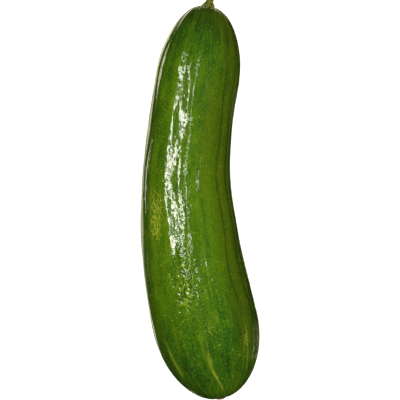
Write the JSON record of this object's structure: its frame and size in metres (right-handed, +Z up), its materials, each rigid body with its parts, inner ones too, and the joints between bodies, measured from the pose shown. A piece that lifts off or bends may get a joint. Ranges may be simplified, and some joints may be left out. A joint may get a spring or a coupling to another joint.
{
  "type": "cucumber",
  "caption": "Short slicing cucumber with a gentle bend, low ribs and a cut stub of stalk, lying on its side.",
  "frame": {"origin": "on the surface it lies on, under the middle of the whole", "axes": "+Z up from the surface, +Y along its length towards the stem end, +X towards the hollow side of the bend"},
  "size_m": [0.0608, 0.2052, 0.052],
  "materials": {
    "cucumber_skin": "gloss",
    "cut_stalk": "matte"
  },
  "bodies": {
    "root": {"fruit": "cucumber_skin", "stem_stub": "cut_stalk"}
  },
  "joints": []
}
